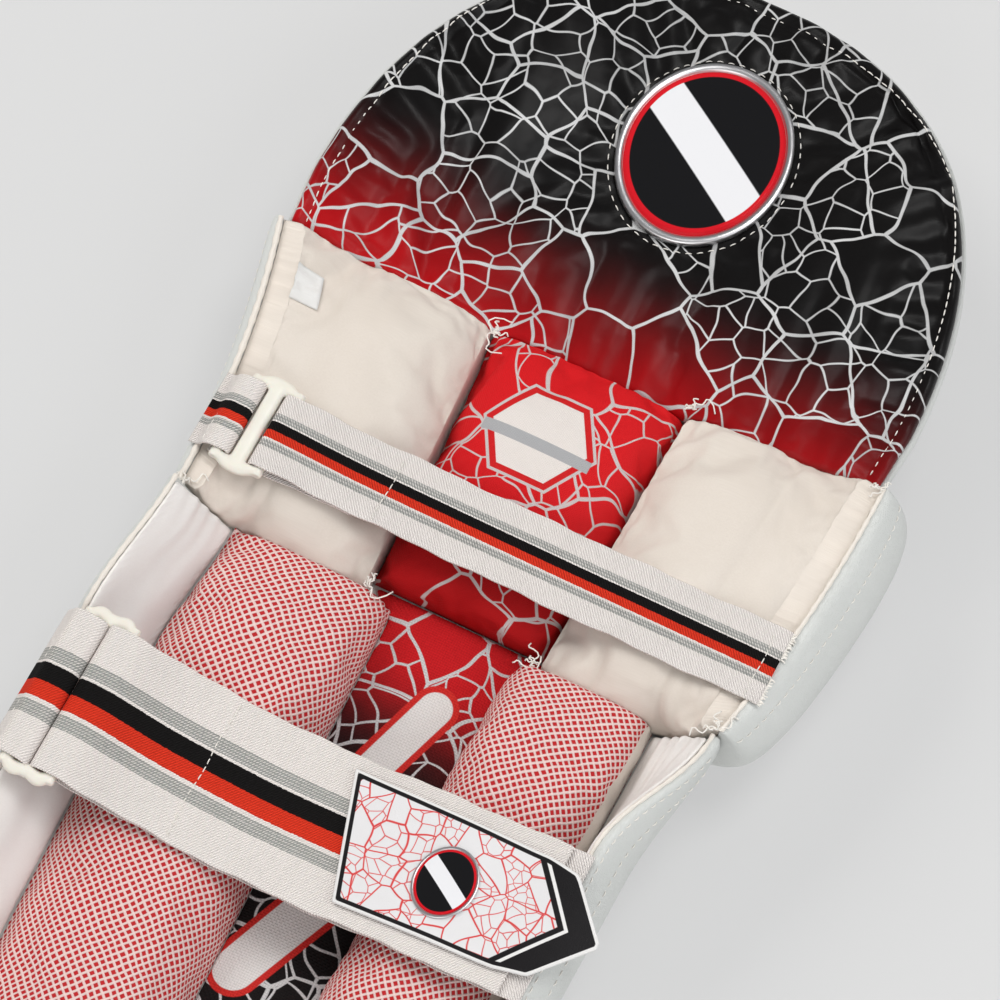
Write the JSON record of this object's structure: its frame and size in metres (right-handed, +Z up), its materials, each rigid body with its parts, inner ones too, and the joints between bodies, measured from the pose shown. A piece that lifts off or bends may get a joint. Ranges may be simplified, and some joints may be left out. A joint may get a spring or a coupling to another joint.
{
  "type": "batting pad",
  "caption": "Cricket batting pad lying on its ribbed front, leg side up, with a lined thigh flap, knee pillows, net-covered shin bolsters and buckled webbing straps.",
  "frame": {"origin": "on the floor under the middle of the pad's bounding box", "axes": "+X across the pad, +Y up the leg towards the thigh flap, +Z up, out of the leg side"},
  "size_m": [0.3305, 0.772, 0.092],
  "materials": {
    "leatherette": "white smooth-grained leatherette",
    "cotton": "cream cotton cloth",
    "wing_cloth": "off-white smooth cloth",
    "flap_print": "satin cloth printed red to black with silver lines",
    "cup_print": "red cloth printed with silver lines",
    "strip_print": "coarse cloth printed red to black with silver lines",
    "netting": "white net over red cloth",
    "webbing": "white woven elastic with grey, black and red stripes",
    "nylon": "white satin nylon",
    "patch_print": "white leatherette printed with red lines and black panels",
    "badge_gel": "domed gloss plastic, black with a red and silver rim"
  },
  "bodies": {
    "root": {"flap_face": "leatherette", "flap_lining": "flap_print", "flap_badge": "badge_gel", "knee_roll_lower": "leatherette", "knee_roll_middle": "leatherette", "knee_roll_upper": "leatherette", "knee_wing_left": "leatherette", "knee_wing_right": "leatherette", "knee_pillow_left": "cotton", "knee_pillow_right": "cotton", "knee_cup": "cup_print", "size_label": "webbing", "shin_face": "leatherette", "shin_wing_left": "leatherette", "shin_wing_right": "leatherette", "wing_lining_left": "wing_cloth", "wing_lining_right": "wing_cloth", "shin_bolster_left": "netting", "shin_bolster_right": "netting", "shin_strip": "strip_print", "knee_strap": "webbing", "knee_strap_tab": "webbing", "knee_strap_loop": "nylon", "calf_strap": "webbing", "calf_strap_tab": "webbing", "calf_strap_loop": "nylon", "strap_patch": "patch_print"}
  },
  "joints": []
}
